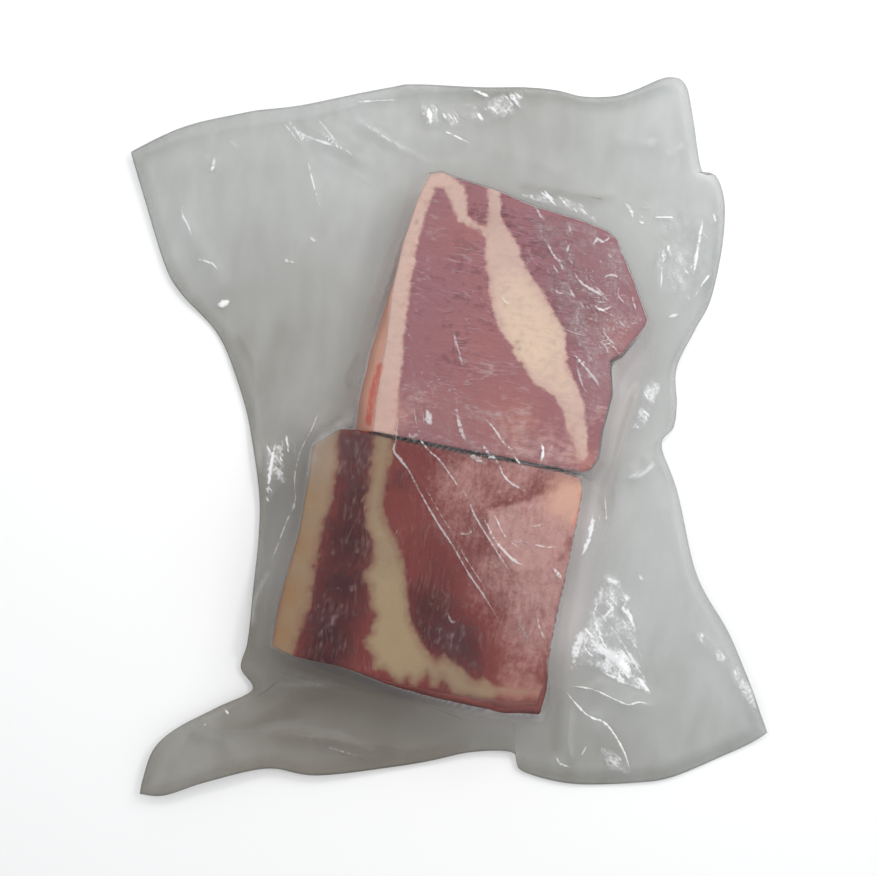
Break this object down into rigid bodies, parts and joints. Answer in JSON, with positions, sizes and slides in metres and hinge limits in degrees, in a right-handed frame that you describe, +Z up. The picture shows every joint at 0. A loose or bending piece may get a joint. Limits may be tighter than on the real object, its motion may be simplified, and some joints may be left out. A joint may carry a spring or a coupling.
{
  "type": "raw beef brisket, vacuum packed",
  "caption": "Sawn slabs of raw beef brisket, lean and fat, lying edge to edge in a clear sealed vacuum bag with a crumpled skirt of film all round.",
  "frame": {"origin": "middle of the pack's base on the table, under the centre of its box", "axes": "+Z up off the table, +Y along the bag towards the upper slab, +X to the right seen from above"},
  "size_m": [0.3, 0.3377, 0.04],
  "materials": {
    "clear_film": "clear crumpled film, slightly hazy",
    "raw_beef": "frosted lean meat with creamy fat, moist under the film"
  },
  "bodies": {
    "root": {"sealed_bag": "clear_film"}
  },
  "joints": []
}
